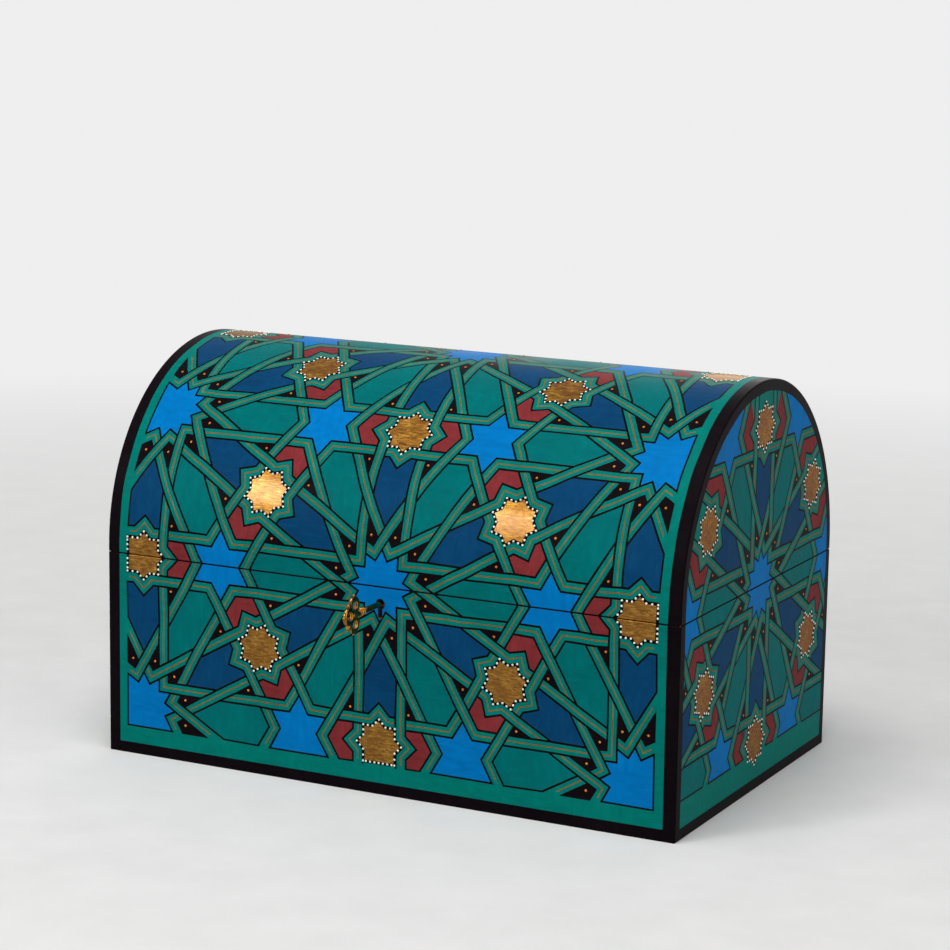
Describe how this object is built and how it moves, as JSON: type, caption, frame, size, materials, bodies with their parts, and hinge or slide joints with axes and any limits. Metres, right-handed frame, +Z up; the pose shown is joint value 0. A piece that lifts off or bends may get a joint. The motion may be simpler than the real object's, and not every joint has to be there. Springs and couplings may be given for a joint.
{
  "type": "domed lidded box",
  "caption": "Rectangular wooden box with a half-round hinged lid, painted star strapwork, a small box lock and a pierced brass key.",
  "frame": {"origin": "middle of the underside of the box", "axes": "+X to the right along the length, +Y from the locked front to the hinged back, +Z up"},
  "size_m": [0.32, 0.2423, 0.209],
  "materials": {
    "painted_wood": "hand painted star strapwork under a satin varnish",
    "black_trim": "satin black paint",
    "bare_wood": "stained and waxed softwood",
    "brass": "rolled brass, lightly tarnished",
    "key_brass": "cast and polished brass",
    "steel": "plain drawn steel"
  },
  "bodies": {
    "base": {"bottom_board": "black_trim", "front_board": "painted_wood", "back_board": "painted_wood", "left_end_board": "painted_wood", "right_end_board": "painted_wood", "corner_brads": "steel", "bottom_brads": "steel", "lock_plate": "brass", "lock_cap": "steel", "lock_spring": "steel", "lock_screws": "brass", "left_hinge_base_leaf": "brass", "right_hinge_base_leaf": "brass", "left_hinge_pin": "brass", "right_hinge_pin": "brass", "hinge_base_screws": "brass"},
    "lid": {"lid_shell": "painted_wood", "lid_left_end": "painted_wood", "lid_right_end": "painted_wood", "lid_front_rail": "bare_wood", "lid_back_rail": "bare_wood", "lid_brads": "steel", "strike": "brass", "strike_screws": "brass", "left_hinge_lid_leaf": "brass", "right_hinge_lid_leaf": "brass", "hinge_lid_screws": "brass"},
    "bolt": {"lock_bolt": "brass"},
    "key": {"key": "key_brass"}
  },
  "joints": [
    {"name": "lid_hinge", "type": "hinge", "parent": "base", "child": "lid", "pos_m": [0, 0.1026, 0.106], "axis": [-1, 0, 0], "range_deg": [0, 100]},
    {"name": "key_turn", "type": "hinge", "parent": "base", "child": "key", "pos_m": [0, -0.1, 0.0975], "axis": [0, 1, 0], "range_deg": [0, 360]},
    {"name": "bolt_slide", "type": "slide", "parent": "base", "child": "bolt", "axis": [1, 0, 0], "range_m": [0, 0.004]}
  ],
  "couplings": [
    {"joint": "bolt_slide", "follows": "key_turn", "m_per_rad": 0.000636}
  ]
}
